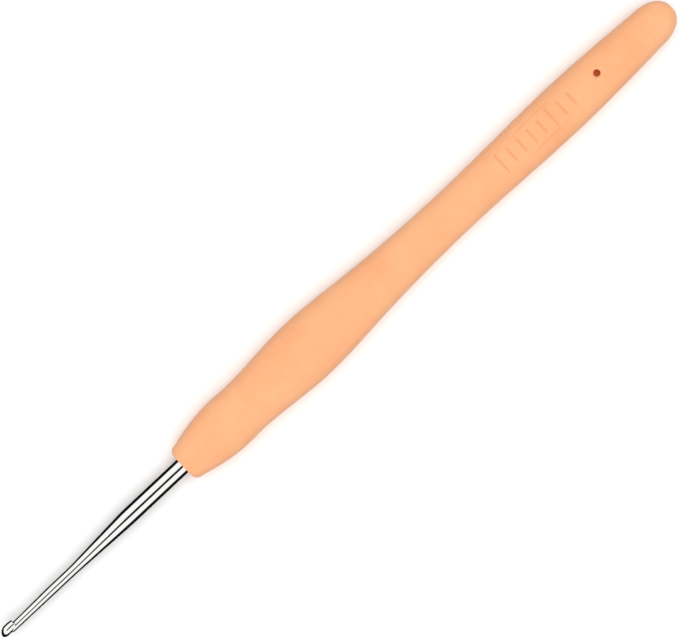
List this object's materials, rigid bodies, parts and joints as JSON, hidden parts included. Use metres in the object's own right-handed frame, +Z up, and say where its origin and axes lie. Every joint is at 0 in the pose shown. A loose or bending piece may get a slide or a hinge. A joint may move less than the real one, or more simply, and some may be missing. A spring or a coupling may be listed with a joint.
{
  "type": "crochet hook",
  "caption": "Slim steel crochet hook with a tapered working shaft, set in a soft contoured grip with a flattened thumb rest.",
  "frame": {"origin": "middle of the hook's length, on its axis in Y, on the surface that it lies on", "axes": "+X along the hook from its tip to the grip's rounded end; +Z up, out of the marked wide face of the grip; the mouth faces up and towards +Y"},
  "size_m": [0.14, 0.0102, 0.0072],
  "materials": {
    "steel": "polished nickel plating",
    "core": "moulded ABS, unpolished",
    "skin": "matte soft-touch elastomer"
  },
  "bodies": {
    "root": {"hook_head": "steel", "hook_shaft": "steel", "grip_core": "core", "soft_grip": "skin"}
  },
  "joints": []
}
